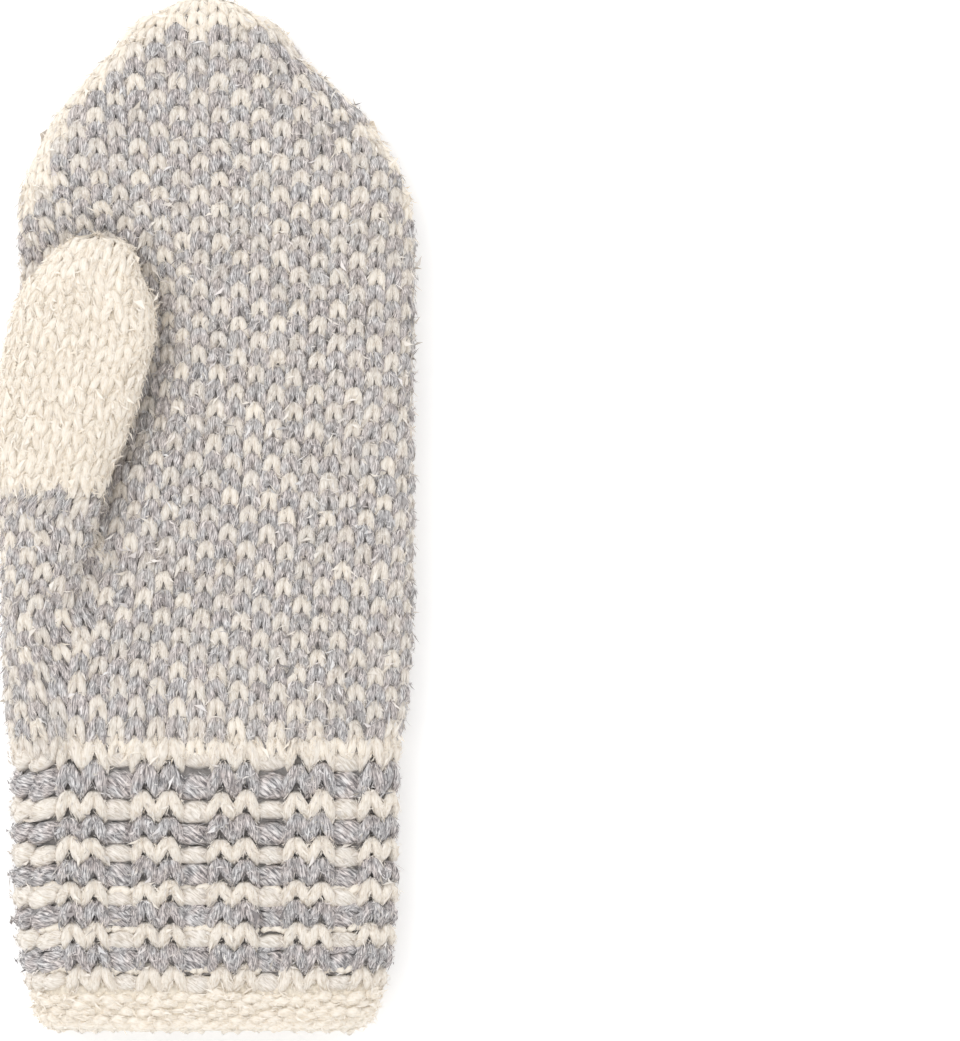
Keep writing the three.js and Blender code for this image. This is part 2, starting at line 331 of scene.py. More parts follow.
def meshFrom(name, batches, soft=True):
    # joins batches of repeated shapes, each (template, places of its points, tone, seed), into one mesh
    verts, loopVerts, loopTotals, uvs, tones, seeds = [], [], [], [], [], []
    start = 0
    for template, places, tone, seed in batches:
        n, m = places.shape[:2]
        corners = np.concatenate(template["faces"]).astype(int)
        offsets = np.arange(n)[:, None] * m + start
        loopVerts.append((corners[None] + offsets).ravel())
        loopTotals.append(np.tile([len(f) for f in template["faces"]], n))
        shifted = np.repeat(np.concatenate(template["uvs"])[None], n, 0)
        shifted[..., 0] += seed[:, None] * yarn["stitchesApart"]
        uvs.append(shifted.reshape(-1, 2))
        tones.append(np.repeat(tone, m))
        seeds.append(np.repeat(seed, m))
        verts.append(places.reshape(-1, 3))
        start += n * m
    verts = np.vstack(verts)
    # pressed flat where the mitten lies on it
    z, high, low = verts[:, 2], yarn["pressFrom"], yarn["pressTo"]
    verts[:, 2] = np.where(z < high, low + (high - low) * np.exp((z - high) / (high - low)), z)
    loopVerts, loopTotals = np.concatenate(loopVerts), np.concatenate(loopTotals)
    mesh = bpy.data.meshes.new(name)
    mesh.vertices.add(len(verts))
    mesh.vertices.foreach_set("co", (verts * mm).astype(np.float32).ravel())
    mesh.loops.add(len(loopVerts))
    mesh.loops.foreach_set("vertex_index", loopVerts.astype(np.int32))
    mesh.polygons.add(len(loopTotals))
    starts = np.concatenate([[0], np.cumsum(loopTotals)[:-1]])
    mesh.polygons.foreach_set("loop_start", starts.astype(np.int32))
    mesh.polygons.foreach_set("use_smooth", np.full(len(loopTotals), soft))
    mesh.update(calc_edges=True)
    layer = mesh.uv_layers.new(name="Yarn")
    layer.data.foreach_set("uv", np.vstack(uvs).astype(np.float32).ravel())
    for title, values in (("cream", tones), ("seed", seeds)):
        attribute = mesh.attributes.new(title, "FLOAT", "POINT")
        attribute.data.foreach_set("value", np.concatenate(values).astype(np.float32))
    mesh.validate()
    piece = bpy.data.objects.new(name, mesh)
    bpy.context.collection.objects.link(piece)
    print(name, "triangles", int(np.sum(loopTotals - 2)))
    return piece


# laying stitches over a face
def clothOf(surface, shape, station, around, tilt=None, side=1):
    # station and around turn a row and a column into mm along and round the face
    return {"surface": surface, "shape": shape, "station": station, "around": around,
            "tilt": tilt or (lambda a, s: 0 * s), "side": side}


def lay(cloth, template, across, rows, tone, wide=1.0, plump=1.0, sink=0.0, uneven=1.0, lean=0.0):
    # across and rows are each stitch's middle column and lower row; both may be fractions
    # and tone is 1 for cream yarn and 0 for grey
    n = len(across)
    seed = dice.random(n)
    wide, plump, sink = (np.broadcast_to(np.asarray(k, float), n) for k in (wide, plump, sink))
    t = template["verts"]
    shape = cloth["shape"]
    lean = (np.broadcast_to(lean, n) + dice.normal(0, yarn["lean"] * uneven, n))[:, None]
    stretch = (1 + dice.normal(0, yarn["stretch"] * uneven, n))[:, None]
    grow = (plump * (1 + dice.normal(0, yarn["grow"] * uneven, n)))[:, None]
    x = t[None, :, 0] * wide[:, None] * grow ** 0.5 + lean * (t[None, :, 1] - shape["row"] / 2)
    y = shape["row"] / 2 + (t[None, :, 1] - shape["row"] / 2) * stretch
    jitter = dice.normal(0, yarn["place"] * uneven, (3, n, 1))
    column = across[:, None] + (x + jitter[0]) / shape["column"]
    s = cloth["station"](rows[:, None] + (y + jitter[1]) / shape["row"])
    core, deep, give = yarn["core"], yarn["deep"], yarn["deepGive"]
    lift = (t[None, :, 2] - core) * grow * shape.get("flat", 1) + core + sink[:, None]
    lift = lift + jitter[2] * yarn["placeUp"]
    lift = np.where(lift < deep, deep - give * (1 - np.exp((lift - deep) / give)), lift)
    a = cloth["around"](column, s)
    s = s + cloth["tilt"](a, s)
    places = onSurface(cloth["surface"], a, s, cloth["side"] * lift + 0 * s)
    return (template if cloth["side"] > 0 else turned(template)), places, tone, seed


# palm and back
palmKnit = {
    # the line that columns are counted from, their width, and the places of the rows
    "line": [(73, -5.4), (95, -4.9), (119, -3.1), (150, -0.9), (178, 0.6), (205, 1.2), (235, 0.8),
             (262, 0.0)],
    "width": [(73, 5.3), (110, 5.2), (205, 5.2), (240, 5.45), (265, 5.55)],
    "row": [(-1, 71.6), (0, 76.2), (3, 90.8), (22, 178.6), (25, 192.0), (43, 269.6), (47, 286.9)],
    # how many mm higher a row stands at a place round the palm, and where that holds
    "tilt": [(-26, 2.7), (14, 0.35), (26, 0), (60, -0.6)],
    "tiltFade": [(76, 0), (94, 1), (185, 1), (226, 0)],
    "rows": 44,
    "blunt": [(222, 1), (236, 1.02), (257, 1.05), (264, 1.10), (268, 1.22), (271, 1.32), (273, 1.4)],
    "creamFrom": 263.5,  # the fingertips are all cream
    "bandFrom": 212,  # cream bands run up the sides of the fingertips from here
    "bands": (0.5, 1.75),  # columns in them, on the right and on the left
    # beside a slanting edge stitches lean with it: share of its slope, its limits, and columns over
    # which that fades; the slope is taken over some mm both ways
    "lean": 0.8,
    "leanLimits": (-1.1, 0.3),
    "leanFade": 2.4,
    "leanOver": 3,
    "creamPlump": 0.93,
    "greyPlump": 1.12,
    "creamSink": -0.12,
    "hemSink": -0.5,  # of the row that starts under the cuff
    "uneven": 1.2,
    "calm": 12,  # smoothing of the edges' places, below the thumb's ring and above it
    "highCalm": 3,
    "dome": 1.2,
    # felting: how much colour each stitch takes from the other yarn, and how much that differs
    "creamTakes": (0.28, 0.09),
    "greyTakes": (0.05, 0.05),
    "backLine": 0.6,
}
gussetKnit = {
    "crease": [(70, -37.5), (98, -36), (115, -32), (130, -29.2), (144, -26.6)],
    "closeFrom": 120,  # the palm takes in one column more of the fold from this station on
    "row": 4.53,
    "rows": 15,
    "tilt": [(0, 0), (26, 3.2)],  # counted from the left edge
    "tiltFade": [(76, 0), (92, 1), (115, 0.7), (136, 0)],
    "uneven": 1.4,
}


def palmLine(s):
    return float(along(palmKnit["line"], s))


def backLine(s):
    return palmKnit["backLine"]


def columnWidth(s):
    return along(palmKnit["width"], s)


def rowStation(row):
    return along(palmKnit["row"], row)


def palmTilt(a, s):
    return along(palmKnit["tilt"], a) * along(palmKnit["tiltFade"], s)


def plainRound(column, s):
    return column * columnWidth(s)


lowLoops, highLoops = outer(lowerHand), blunted(outer(upperHand), palmKnit["blunt"])
upper = {"dome": palmKnit["dome"], "calm": palmKnit["highCalm"]}
lowPalm = surfaceOf(lowLoops, palmLine, calm=palmKnit["calm"])
highPalm = surfaceOf(highLoops, palmLine, **upper)
lowBack = surfaceOf(lowLoops, backLine, top=False, calm=palmKnit["calm"])
highBack = surfaceOf(highLoops, backLine, top=False, **upper)
plainStitch = loopStitch(stitchShape)
lowPalmCloth = clothOf(lowPalm, stitchShape, rowStation, plainRound, palmTilt)
highPalmCloth = clothOf(highPalm, stitchShape, rowStation, plainRound, palmTilt)
lowBackCloth = clothOf(lowBack, stitchShape, rowStation, plainRound)
highBackCloth = clothOf(highBack, stitchShape, rowStation, plainRound)


def creaseArc(s):
    # how far left of the columns' line the fold beside the thumb lies
    j = int(np.argmin(np.abs(lowPalm["s"] - s)))
    left = lowPalm["points"][j, :lowPalm["reach"] + 1, 0][::-1]
    return float(np.argmax(left < along(gussetKnit["crease"], s)))


def filled(first, reach, rest):
    # whole columns out to the edge of a face, then columns of about one width over the seam
    whole = math.floor(reach)
    over = reach - whole + rest
    if over < 0.5 and whole > 0:
        whole, over = whole - 1, over + 1
    k = max(1, round(over))
    plain = [(c + 0.5, 1.0) for c in range(first, whole)]
    return plain + [(whole + over * (j + 0.5) / k, over / k) for j in range(k)]


def edgeSlopes(surface, s):
    over = palmKnit["leanOver"]
    rises = (measure(surface, k, s + over) - measure(surface, k, s - over) for k in ("ahead", "behind"))
    return [np.clip(rise / (2 * over), *palmKnit["leanLimits"]) for rise in rises]


def faceCells(surface, other, rows, trim, gusset=False, backSide=False):
    # (middle column, row, width, whether in a cream band, lean) of each stitch of one face
    cells = []
    for r in rows:
        s = float(rowStation(r + 0.5))
        w = float(columnWidth(s))
        ahead, behind = (measure(surface, k, s) / w for k in ("ahead", "behind"))
        closed = 1.0 * (s > gussetKnit["closeFrom"])
        first = -math.floor(creaseArc(s) / w + closed) if gusset else -math.floor(behind)
        rest = 0 if backSide and s < ringS else (measure(other, "behind", s) / w) % 1.0
        inTip = s > palmKnit["bandFrom"]
        slopes = edgeSlopes(surface, s)
        for c, wide in filled(first, ahead, rest):
            fromEdges = ahead - c, behind + c
            isBand = inTip and (fromEdges[0] < trim[0] or fromEdges[1] < trim[1])
            fades = [np.clip(1 - k / palmKnit["leanFade"], 0, 1) for k in fromEdges]
            pull = [palmKnit["lean"] * slope * fade for slope, fade in zip(slopes, fades)]
            cells.append((c, r, wide, isBand, (pull[0] - pull[1]) * inTip))
    return np.array(cells).T


def speckle(across, rows, s):
    # one grey stitch and one cream by turns, in both directions
    odd = (np.floor(across).astype(int) + rows.astype(int)) % 2
    return np.where(odd == 0, 1.0, 0.0)


backMotif = {"repeat": 10, "ring": 2, "net": 5, "columnShift": 1, "rowShift": 6}


def diamonds(across, rows, s):
    # small rings inside a net of larger diamonds, set half a repeat apart
    rep = backMotif["repeat"]
    column = np.floor(across) + backMotif["columnShift"]
    row = rows + backMotif["rowShift"]

    def distance(shift):
        return sum(np.abs((k + shift) % rep - rep / 2) for k in (column, row))

    d = np.minimum(distance(0), distance(rep / 2))
    grey = (d == backMotif["ring"]) | (d == backMotif["net"])
    return np.where(grey, 0.0, 1.0)


def plumpOf(tone):
    return np.where(tone > 0.5, palmKnit["creamPlump"], palmKnit["greyPlump"])


def blended(tone):
    # felted a little: each stitch takes some colour from its neighbours of the other yarn
    n = len(tone)
    cream = 1 - np.abs(dice.normal(*palmKnit["creamTakes"], n))
    grey = np.abs(dice.normal(*palmKnit["greyTakes"], n))
    return np.where(tone > 0.5, cream, grey)


def layFace(cloth, cells, pattern, sink=None):
    across, rows, wide, isBand, lean = cells
    s = rowStation(rows + 0.5)
    pure = (isBand > 0) | (rows < 0) | (s > palmKnit["creamFrom"])
    tone = np.where(pure, 1.0, pattern(across, rows, s))
    low = sink(across, s) if sink else np.where(tone > 0.5, palmKnit["creamSink"], 0.0)
    low = low + palmKnit["hemSink"] * (rows < 0)
    return lay(cloth, plainStitch, across, rows, np.where(pure, 1.0, blended(tone)), wide=wide,
               plump=plumpOf(tone), sink=low, uneven=palmKnit["uneven"], lean=lean)


def gussetBatch():
    # columns counted in from the left edge, one more of them each time that the fold moves away
    unit = stitchShape["column"]
    cells = []
    start = None
    for r in range(-1, gussetKnit["rows"]):
        s = float(rowStation(0)) + (r + 0.5) * gussetKnit["row"]
        w = float(columnWidth(s))
        inner = math.floor(creaseArc(s) / w) * w
        room = measure(lowPalm, "behind", s) - inner
        k = max(1, round(room / unit))
        start = start or k + round(inner / w)
        wide = room / k / unit
        cells += [((j + 0.5) * room / k / unit, r, wide, 1.0 - (j - start + r) % 2) for j in range(k)]
    across, rows, wide, tone = np.array(cells).T
    tone = np.where(rows < 0, 1.0, tone)

    def around(column, s):
        return column * unit - measure(lowPalm, "behind", s)

    def tilt(a, s):
        inward = a + measure(lowPalm, "behind", s)
        return along(gussetKnit["tilt"], inward) * along(gussetKnit["tiltFade"], s)

    def station(row):
        return rowStation(0) + row * gussetKnit["row"]

    cloth = clothOf(lowPalm, stitchShape, station, around, tilt)
    return lay(cloth, plainStitch, across, rows, blended(tone), wide=wide, plump=plumpOf(tone),
               uneven=gussetKnit["uneven"])


ringRow = int(np.argmax(rowStation(np.arange(palmKnit["rows"]) + 0.5) > ringS))
lowRows, highRows = range(-1, ringRow), range(ringRow, palmKnit["rows"])
palmTrim = palmKnit["bands"]
backTrim = palmTrim[::-1]
palmBatches = [
    layFace(lowPalmCloth, faceCells(lowPalm, lowBack, lowRows, palmTrim, gusset=True), speckle),
    gussetBatch(),
    layFace(highPalmCloth, faceCells(highPalm, highBack, highRows, palmTrim), speckle),
]
palm = meshFrom("palmStitches", palmBatches)


labelBed = {"sink": -0.95, "sides": 1.5, "below": 2, "above": 0.5}  # mm


def labelSink(across, s):
    # stitches under the label are pushed in by it
    low, high = boxes["label"]
    x, y, _ = onSurface(lowBack, across * columnWidth(s), s, 0 * s).T
    insideX = (x > low.x - labelBed["sides"]) & (x < high.x + labelBed["sides"])
    insideY = (y > low.y - labelBed["below"]) & (y < high.y + labelBed["above"])
    return np.where(insideX & insideY, labelBed["sink"], 0.0)


backBatches = [
    layFace(lowBackCloth, faceCells(lowBack, lowPalm, lowRows, backTrim, backSide=True), diamonds, labelSink),
    layFace(highBackCloth, faceCells(highBack, highPalm, highRows, backTrim), diamonds),
]
back = meshFrom("backStitches", backBatches)
print("hand knitted")

# thumb
thumbKnit = {
    "column": 5.1,
    "row": 3.72,
    "flat": 0.62,
    "sink": 0.4,
    "rows": 18,
    "start": ringS - 2.0,
    "reach": 60,
    "dome": 0.5,
    "blunt": [(199, 1), (203.2, 1.06), (204.8, 1.13), (206.3, 1.34), (207.9, 1.75), (209.6, 2.5)],
    "plump": 1.1,
    "uneven": 2.0,
    "sides": 6,
    "leg": [
        (0.26, 5.30, -1.95, 0.65),
        (0.64, 4.65, -1.22, 1.08),
        (1.10, 3.30, -1.02, 1.24),
        (1.55, 1.75, -1.06, 1.22),
        (1.94, 0.30, -1.45, 1.00),
        (2.20, -0.90, -2.05, 0.62),
    ],
}
thumbLoops = blunted(outer(cuts["thumb"]), thumbKnit["blunt"])
thumbLine = middleOf(thumbLoops)
topThumb, underThumb = (surfaceOf(thumbLoops, thumbLine, top, thumbKnit["reach"], thumbKnit["dome"])
                        for top in (True, False))


def thumbBatch(surface, other):
    cells = []
    w = thumbKnit["column"]
    for r in range(thumbKnit["rows"]):
        s = thumbKnit["start"] + (r + 0.5) * thumbKnit["row"]
        rest = (measure(other, "behind", s) / w) % 1.0
        first = -math.floor(measure(surface, "behind", s) / w)
        cells += [(c, r, wide) for c, wide in filled(first, measure(surface, "ahead", s) / w, rest)]
    across, rows, wide = np.array(cells).T
    cloth = clothOf(surface, thumbKnit, lambda row: thumbKnit["start"] + row * thumbKnit["row"],
                    lambda column, s: column * w)
    return lay(cloth, loopStitch(thumbKnit), across, rows, np.ones(len(across)), wide=wide,
               plump=thumbKnit["plump"], sink=thumbKnit["sink"], uneven=thumbKnit["uneven"])


thumbBatches = [thumbBatch(topThumb, underThumb), thumbBatch(underThumb, topThumb)]
thumb = meshFrom("thumbStitches", thumbBatches)
print("thumb knitted")

# cuff and welt
cuffKnit = {
    "ribs": 11,
    "ribMiddle": 0.375,  # in ribs from the middle of the top
    "pair": 6.6,  # mm between the two columns of a rib
    "reach": 124,
    "rows": 10,
    "rowHeight": 5.7,
    "sides": 6,  # of the ribs' yarn, and of the bumps'
    "bumpSides": 8,
    "row": [(-1, 9.4), (0, 15.1), (1, 20.9), (2, 26.6), (3, 32.3), (4, 38.0), (5, 43.6), (6, 49.3),
            (7, 55.1), (8, 61.2), (9, 68.2), (10, 76.2), (11, 82)],
    "leg": [
        (0.26, 7.50, -2.90, 0.80),
        (0.70, 6.60, -1.65, 1.42),
        (1.38, 5.15, -1.28, 1.74),
        (2.20, 3.60, -1.35, 1.78),
        (2.95, 2.15, -1.85, 1.56),
        (3.50, 0.90, -2.75, 1.12),
        (3.80, -0.10, -3.50, 0.60),
    ],
    "bump": [
        (-4.1, 2.4, -4.1, 1.2),
        (-2.7, 2.8, -3.1, 2.2),
        (-0.9, 3.1, -2.6, 2.75),
        (0.9, 3.1, -2.6, 2.75),
        (2.7, 2.9, -3.1, 2.2),
        (4.1, 2.5, -4.1, 1.2),
    ],
    "blob": [
        (-4.0, 2.5, -4.4, 1.4),
        (-2.7, 2.8, -3.4, 2.7),
        (-0.9, 3.0, -3.0, 3.3),
        (0.9, 3.0, -3.0, 3.3),
        (2.7, 2.9, -3.4, 2.7),
        (4.0, 2.6, -4.4, 1.4),
    ],
    # how cream its cream yarn is (the recessed cream purl bumps greyed more than the ribs, partly felting and
    # partly painted shade), how plump both yarns are, and how uneven the bumps
    "ribTone": 0.84,
    "ribPlump": (1.0, 1.06),
    "bumpShadedTone": 0.66,
    "bumpUneven": 1.8,
    "blobSink": -0.35,
    "blobUneven": 1.5,
    "slantTone": 0.75,
    "slantPlump": (0.97, 1.05),
    "slantUneven": 1.5,
    # where the tube folds at the left its knitting is stretched into slanting bumps
    "fold": [-3.13, -2.81, -2.49, -2.17],
    "foldEdges": (0.1, 0.2),  # ribs past the fold that stay free of other bumps
    "slant": [
        (-4.4, 0.9, -3.4, 1.5),
        (-2.6, 1.8, -2.4, 2.4),
        (0.0, 3.0, -1.9, 2.8),
        (2.6, 4.1, -2.4, 2.4),
        (4.4, 5.0, -3.4, 1.5),
    ],
}
cuffFace, weltFace = (surfaceOf(loops, middleOf(loops), reach=cuffKnit["reach"])
                      for loops in (cuffLoops, weltLoops))
ribMm = float(np.mean(cuffFace["total"])) / cuffKnit["ribs"]
ribShape = {"column": ribMm, "row": cuffKnit["rowHeight"], "sides": cuffKnit["sides"], "leg": cuffKnit["leg"]}
ribStitch = loopStitch(ribShape)
purlBump, purlBlob, slantBump = (strand(cuffKnit[k], cuffKnit["bumpSides"])
                                 for k in ("bump", "blob", "slant"))


def ribBatches(surface, rows, tone):
    cloth = clothOf(surface, ribShape, lambda row: along(cuffKnit["row"], row),
                    lambda column, s: column * measure(surface, "total", s) / cuffKnit["ribs"])
    middles = np.arange(cuffKnit["ribs"]) - cuffKnit["ribs"] // 2 + cuffKnit["ribMiddle"]
    half = cuffKnit["pair"] / 2 / ribMm
    fold = cuffKnit["fold"]
    before, after = cuffKnit["foldEdges"]
    ribs = [m for m in middles if not fold[0] < m < fold[-1]]
    gaps = [m for m in middles + 0.5 if not fold[0] - before < m < fold[-1] + after]
    knit = np.array([(m + side * half, r) for r in rows for m in ribs for side in (-1, 1)]).T
    purl = np.array([(m, r) for r in rows for m in gaps]).T
    folded = np.array([(m, r) for r in rows for m in fold]).T
    knitTone, foldTone = tone(knit[1]), tone(folded[1])
    knitPlump = np.where(knitTone > 0.5, *cuffKnit["ribPlump"])
    foldPlump = np.where(foldTone > 0.5, *cuffKnit["slantPlump"])
    light, dark = (purl[:, tone(purl[1]) == k] for k in (1, 0))
    return [
        lay(cloth, ribStitch, *knit, knitTone * cuffKnit["ribTone"], plump=knitPlump),
        # the cream purl bumps are greyed more than the ribs: painted shade for their recess between the ribs,
        # over some felting
        lay(cloth, purlBump, *light, np.full(light.shape[1], cuffKnit["bumpShadedTone"]),
            uneven=cuffKnit["bumpUneven"]),
        lay(cloth, purlBlob, *dark, np.zeros(dark.shape[1]), sink=cuffKnit["blobSink"],
            uneven=cuffKnit["blobUneven"]),
        lay(cloth, slantBump, *folded, foldTone * cuffKnit["slantTone"], plump=foldPlump,
            uneven=cuffKnit["slantUneven"]),
    ]


cuffBatches = ribBatches(cuffFace, range(cuffKnit["rows"]), lambda r: (r % 2 == 1) * 1.0)
cuff = meshFrom("cuffStitches", cuffBatches)
print("cuff knitted")

weltKnit = {
    "bump": [
        (-2.3, -0.7, -2.7, 0.75),
        (-1.4, 0.1, -1.5, 1.25),
        (0.0, 0.4, -1.1, 1.45),
        (1.4, 0.1, -1.5, 1.25),
        (2.3, -0.7, -2.7, 0.75),
    ],
    "cord": [
        (-4.0, 0.1, -2.4, 0.9),
        (-2.4, 0.3, -1.5, 1.4),
        (0.0, 0.5, -1.2, 1.6),
        (2.4, 0.7, -1.5, 1.4),
        (4.0, 0.9, -2.4, 0.9),
    ],
    "rings": [(8.7, 0.0), (6.6, 0.5), (4.6, 0.0), (2.8, 0.5)],  # station and stagger of the bumps
    "bumps": 42,
    "bumpUneven": 2.8,
    "bumpPlump": 1.18,
    "cords": 40,
    "cordS": 0.9,
    "cordUneven": 1.2,
    "flat": 0.8,
    "sides": 6,
}
bump, cord = (strand(weltKnit[k], weltKnit["sides"]) for k in ("bump", "cord"))


def ringOf(surface, count, template, station, stagger=0.0, side=1, tone=1.0, uneven=1.0, plump=1.0):
    unit = float(np.mean(surface["total"])) / count
    cloth = clothOf(surface, {"column": unit, "row": 1.0, "flat": weltKnit["flat"]}, lambda row: row,
                    lambda column, s: column * measure(surface, "total", s) / count, side=side)
    across = np.arange(count) - count / 2 + 0.5 + stagger
    return lay(cloth, template, across, np.full(count, float(station)), np.full(count, tone),
               uneven=uneven, plump=plump)


weltBatches = [
    *ribBatches(weltFace, [-1], lambda r: r * 0 + 1.0),
    *[ringOf(weltFace, weltKnit["bumps"], bump, s, stagger, uneven=weltKnit["bumpUneven"],
             plump=weltKnit["bumpPlump"])
      for s, stagger in weltKnit["rings"]],
    ringOf(weltFace, weltKnit["cords"], cord, weltKnit["cordS"], uneven=weltKnit["cordUneven"]),
]
welt = meshFrom("weltStitches", weltBatches)

# the wrong side of the knitting, as far as it is seen through the wrist
mouthKnit = {
    "rows": 8,
    "pitch": 5.2,
    "bumps": 34,
    "first": 1.2,
    "creamRows": 3,
    "uneven": 1.4,
    "plump": 1.1,
}
mouthFace = surfaceOf(mouthLoops, middleOf(mouthLoops))
mouthBatches = [
    ringOf(mouthFace, mouthKnit["bumps"], bump, mouthKnit["first"] + r * mouthKnit["pitch"], r % 2 / 2,
           side=-1, tone=1.0 if r < mouthKnit["creamRows"] or r % 2 else 0.0, uneven=mouthKnit["uneven"],
           plump=mouthKnit["plump"])
    for r in range(mouthKnit["rows"])
]
mouth = meshFrom("mouthStitches", mouthBatches)
print("welt knitted")

# backing under the stitches
backing = {
    # mm that the outer face of each solid is drawn in, and the inner face of all
    "hand": 1.45,
    "thumb": 0.75,
    "cuff": 2.7,
    "welt": 1.2,
    "inside": 0.5,
    "ends": 8,  # mm from a solid's start within which nothing is drawn along the mitten
    "smooth": 0.3,
    "humpEnd": 0.1,  # mm short of the thumb's ring, where the hump beside the thumb ends
}


def backingOf(node):
    bm = solids[node]
    stations = np.array([s for s, _ in cuts[node]])
    bmesh.ops.smooth_vert(bm, verts=bm.verts, factor=backing["smooth"], use_axis_x=True, use_axis_y=False,
                          use_axis_z=True)
    bm.normal_update()
    moves = []
    for v in bm.verts:
        p = np.array([v.co.x, v.co.z]) / mm
        s = v.co.y / mm - wristY
        isBelow = s < ringS - backing["humpEnd"]
        apart = np.where((stations < ringS) == isBelow, np.abs(stations - s), np.inf)
        closest = int(np.argmin(apart))
        near = [np.min(np.hypot(*(q - p).T)) for q in cuts[node][closest][1]]
        isOuter = len(near) < 2 or near[0] < min(near[1:])
        n = v.normal.copy()
        if s < startOf[node] + backing["ends"] or node in ("cuff", "welt"):
            n.y = 0
        moves.append(n * (backing[node] if isOuter else backing["inside"]) * mm)
    for v, move in zip(bm.verts, moves):
        v.co -= move
    for f in bm.faces:
        f.smooth = True
    mesh = bpy.data.meshes.new(node + "Backing")
    bm.to_mesh(mesh)
    bm.free()
    piece = bpy.data.objects.new(node + "Backing", mesh)
    bpy.context.collection.objects.link(piece)
    return piece


backings = {node: backingOf(node) for node in solids}
print("backing made")

# loose fibres, in mm
hairs = {
    "length": 1.9,
    "lengthSpread": 0.42,
    "lengths": (0.8, 4.5),  # shortest and longest
    "width": (0.05, 0.10),
    "tuft": 0.42,  # share of short wide tufts
    "tuftLength": 0.6,  # of the others' length
    "tuftLongest": 1.4,
    "tuftWidth": (0.18, 0.32),
    "tuftArch": 0.07,
    "arch": (0.08, 0.22),  # height of the middle over the root
    "rise": (-0.16, 0.12),  # height of the tip over the root
    "fly": 0.12,  # share that stands off the cloth
    "flyHeight": (0.12, 0.45),
    "follow": 0.65,  # share that lies along its yarn
    "followSpread": 0.32,
    "bend": (0.03, 0.13),  # sideways, of tufts and of the others
    "yarnTop": (-1.5, 1.2),  # roots grow likelier over this stretch of a yarn's height
    "rootSpread": 0.25,
    "rootDepth": 0.12,
    "lowest": 0.1,  # over the ground
    "middle": 0.45,  # place of the widest point along a hair
    "strayTone": 0.45,
    # for each piece the number of hairs, their length and the share of them in the stray shade
    "palm": (49000, 1.0, 0.2),
    "back": (28000, 1.0, 0.14),
    "thumb": (24000, 0.9, 0),
    "cuff": (30000, 0.85, 0.14),
    "welt": (10000, 0.9, 0),
}


def hairTemplate():
    # a long thin wedge: tail, the two sides of its middle, tip
    bm = bmesh.new()
    bmesh.ops.create_cone(bm, cap_ends=True, segments=3, radius1=1, radius2=0, depth=1)
    corners = sorted(bm.verts, key=lambda v: (round(v.co.z, 3), v.co.y))
    middle = hairs["middle"]
    for v, place in zip(corners, ((0, 0, 0), (middle, 0.5, 1), (middle, -0.5, 1), (1, 0, 0))):
        v.co = place
    bmesh.ops.recalc_face_normals(bm, faces=bm.faces)
    bm.verts.index_update()
    template = {
        "verts": np.array([v.co[:] for v in bm.verts]),
        "faces": [[v.index for v in f.verts] for f in bm.faces],
        "uvs": [[(v.co.x, v.co.y + 0.5) for v in f.verts] for f in bm.faces],
    }
    bm.free()
    return template


hair = hairTemplate()


def fuzzOver(part, piece, batches):
    # hairs rooted on the outer side of a piece's yarns
    count, length, stray = hairs[part]
    mesh = piece.data
    n = len(mesh.vertices)
    co, normal = np.empty(n * 3, np.float32), np.empty(n * 3, np.float32)
    mesh.vertices.foreach_get("co", co)
    mesh.vertex_normals.foreach_get("vector", normal)
    co, normal = co.reshape(-1, 3) / mm, normal.reshape(-1, 3)
    high, onward, tone = [], [], []
    start = 0
    low, span = hairs["yarnTop"]
    for template, places, tones, _ in batches:
        k, m = places.shape[:2]
        high.append(np.tile(np.clip((template["verts"][:, 2] - low) / span, 0, 1), k))
        onward.append((template["onward"][None] + np.arange(k)[:, None] * m + start).ravel())
        tone.append(np.repeat(tones, m))
        start += k * m
    high, onward, tone = np.concatenate(high), np.concatenate(onward), np.concatenate(tone)
    at = dice.choice(n, count, p=high / high.sum())
    root = co[at] + dice.normal(0, hairs["rootSpread"], (count, 3))
    up = normal[at]
    anyWay = dice.normal(0, 1, (count, 3))
    follows = dice.random((count, 1)) < hairs["follow"]
    way = np.where(follows, (co[onward[at]] - co[at]) / 2 + anyWay * hairs["followSpread"], anyWay)
    way -= np.sum(way * up, 1, keepdims=True) * up
    way /= np.linalg.norm(way, axis=1, keepdims=True) + 1e-9
    side = np.cross(up, way)
    isTuft = dice.random(count) < hairs["tuft"]
    isFly = (dice.random(count) < hairs["fly"]) & ~isTuft
    size = hairs["length"] * length * np.exp(dice.normal(0, hairs["lengthSpread"], count))
    size = np.clip(size, *hairs["lengths"])
    size = np.where(isTuft, np.minimum(size * hairs["tuftLength"], hairs["tuftLongest"]), size)
    width = np.where(isTuft, dice.uniform(*hairs["tuftWidth"], count), dice.uniform(*hairs["width"], count))
    rise = np.where(isFly, dice.uniform(*hairs["flyHeight"], count), dice.uniform(*hairs["rise"], count))
    arch = np.where(isTuft, hairs["tuftArch"], dice.uniform(*hairs["arch"], count))
    arch = np.clip(rise / 2, 0, 1) + arch
    bend = dice.normal(0, 1, count) * np.where(isTuft, *hairs["bend"]) * size
    u, v, h = hair["verts"].T
    places = (root[:, None] - up[:, None] * hairs["rootDepth"]
              + way[:, None] * (u[None] * size[:, None])[..., None]
              + side[:, None] * (v[None] * width[:, None] + h[None] * bend[:, None])[..., None]
              + up[:, None] * (h[None] * arch[:, None] + u[None] * rise[:, None])[..., None])
    places[..., 2] += np.maximum(0, hairs["lowest"] - places[..., 2].min(1, keepdims=True))
    toneOf = np.where(dice.random(count) < stray, hairs["strayTone"], tone[at])
    return meshFrom(part + "Fuzz", [(hair, places, toneOf, dice.random(count))], soft=False)


fuzz = {
    "palm": fuzzOver("palm", palm, palmBatches),
    "back": fuzzOver("back", back, backBatches),
    "thumb": fuzzOver("thumb", thumb, thumbBatches),
    "cuff": fuzzOver("cuff", cuff, cuffBatches),
    "welt": fuzzOver("welt", welt, weltBatches),
}
print("fibres laid")


